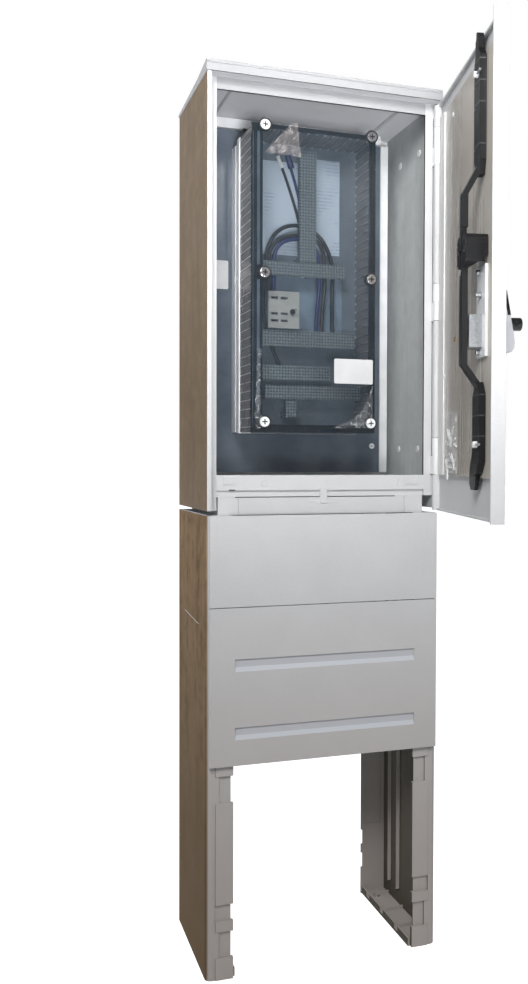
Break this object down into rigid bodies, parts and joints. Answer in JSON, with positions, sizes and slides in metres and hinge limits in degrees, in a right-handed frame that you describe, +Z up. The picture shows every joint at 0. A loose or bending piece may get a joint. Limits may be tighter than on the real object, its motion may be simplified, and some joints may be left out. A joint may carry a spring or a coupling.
{
  "type": "street distribution cabinet",
  "caption": "Free-standing cable distribution cabinet on a two-legged plinth, side-hung door open, clear meter box inside.",
  "frame": {"origin": "on the ground, at the centre of the four fixing holes under the plinth's feet", "axes": "+Z up, +X to the right as seen from the front, +Y towards the back; the door is on the -Y side"},
  "size_m": [0.4763, 0.7186, 1.7088],
  "materials": {
    "shell": "moulded, matt",
    "clear": "clear, glossy",
    "smoke": "smoke grey, glossy",
    "slate": "dark, glossy",
    "white": "white, satin",
    "black": "black, satin",
    "zinc": "galvanised",
    "paper": "printed sheet, left blank",
    "cable": "black sheath",
    "blue_cable": "blue sheath",
    "brown_cable": "brown sheath"
  },
  "bodies": {
    "cabinet": {"plinth_left_leg": "shell", "cable_black": "cable", "cable_blue": "blue_cable", "cable_brown": "brown_cable", "hinge_brackets": "white", "housing_back_wall": "shell", "housing_floor": "shell", "housing_left_wall": "shell", "housing_right_wall": "shell", "lid_film": "clear", "lintel": "shell", "meter_base_body": "smoke", "meter_base_feet": "white", "meter_base_flange": "white", "meter_cross_strips": "zinc", "meter_lid": "clear", "meter_lid_frame": "smoke", "meter_shell": "smoke", "meter_upright_strip": "zinc", "mounting_plate": "slate", "neck": "shell", "plate_rails": "white", "plate_standoffs": "zinc", "plinth_lower_cover": "shell", "plinth_rear_cover": "shell", "plinth_right_leg": "shell", "plinth_upper_cover": "shell", "roof_cap": "shell", "sill": "shell", "spare_cable_blue": "blue_cable", "spare_cable_dark": "cable", "terminal_bracket": "white", "wiring_papers": "paper"},
    "door": {"door_leaf": "shell", "door_liner": "shell", "door_knuckles": "white", "fixings_bag": "clear", "latch_gear_housing": "black", "latch_backing_plate": "white", "lock_case": "zinc", "handle_base": "white"},
    "handle_spindle": {"handle_hub": "zinc"},
    "handle": {"handle_lever": "white", "handle_inlay": "black", "handle_knob": "black"},
    "upper_rod": {"latch_rod_upper": "black"},
    "lower_rod": {"latch_rod_lower": "black"}
  },
  "joints": [
    {"name": "door_hinge", "type": "hinge", "parent": "cabinet", "child": "door", "pos_m": [0.231, -0.1315, 1.277], "axis": [0, 0, 1], "range_deg": [-77.5, 32.5]},
    {"name": "handle_turn", "type": "hinge", "parent": "door", "child": "handle_spindle", "pos_m": [0.16463, -0.47016, 1.25], "axis": [0.9763, -0.2164, 0], "range_deg": [0, 90]},
    {"name": "handle_lift", "type": "hinge", "parent": "handle_spindle", "child": "handle", "pos_m": [0.18122, -0.47384, 1.2655], "axis": [-0.2164, -0.9763, 0], "range_deg": [0, 45]},
    {"name": "upper_rod_slide", "type": "slide", "parent": "door", "child": "upper_rod", "axis": [0, 0, 1], "range_m": [-0.018, 0]},
    {"name": "lower_rod_slide", "type": "slide", "parent": "door", "child": "lower_rod", "axis": [0, 0, 1], "range_m": [0, 0.018]}
  ],
  "couplings": [
    {"joint": "upper_rod_slide", "follows": "handle_turn", "m_per_rad": -0.011459},
    {"joint": "lower_rod_slide", "follows": "handle_turn", "m_per_rad": 0.011459}
  ]
}
